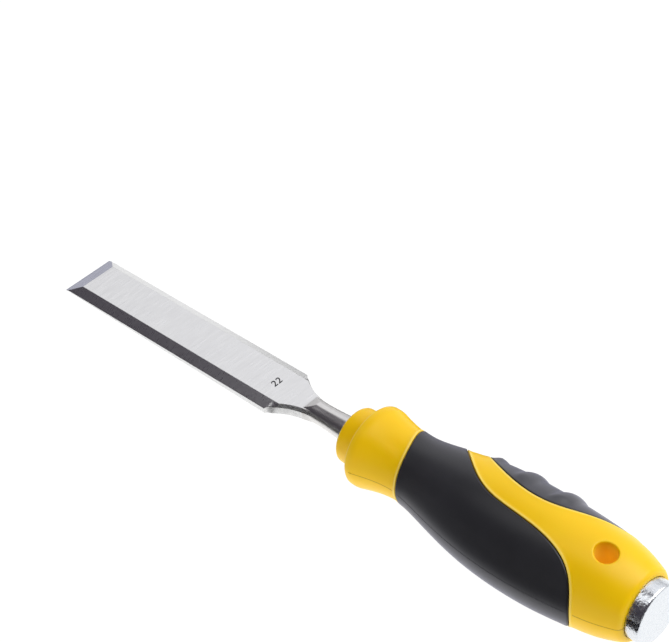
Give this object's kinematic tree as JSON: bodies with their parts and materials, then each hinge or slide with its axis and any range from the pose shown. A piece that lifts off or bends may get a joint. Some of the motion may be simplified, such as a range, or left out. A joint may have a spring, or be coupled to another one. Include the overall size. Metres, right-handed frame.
{
  "type": "bench chisel",
  "caption": "Bevel-edged bench chisel with a flat steel blade, waisted shoulder and neck, a moulded plastic handle with soft rubber grips and a steel striking cap.",
  "frame": {"origin": "middle of the cutting edge, on the blade's flat back", "axes": "+X from the cutting edge to the striking cap, +Y across the blade towards the finger pad, +Z out of the bevelled face"},
  "size_m": [0.2672, 0.0395, 0.0398],
  "materials": {
    "tool_steel": "ground and lapped",
    "hard_plastic": "semi-gloss moulded",
    "soft_rubber": "matt moulded",
    "plated_steel": "zinc plated, turned"
  },
  "bodies": {
    "root": {"blade": "tool_steel", "handle_core": "hard_plastic", "grip_sleeve": "soft_rubber", "finger_pad": "soft_rubber", "striking_cap": "plated_steel"}
  },
  "joints": []
}
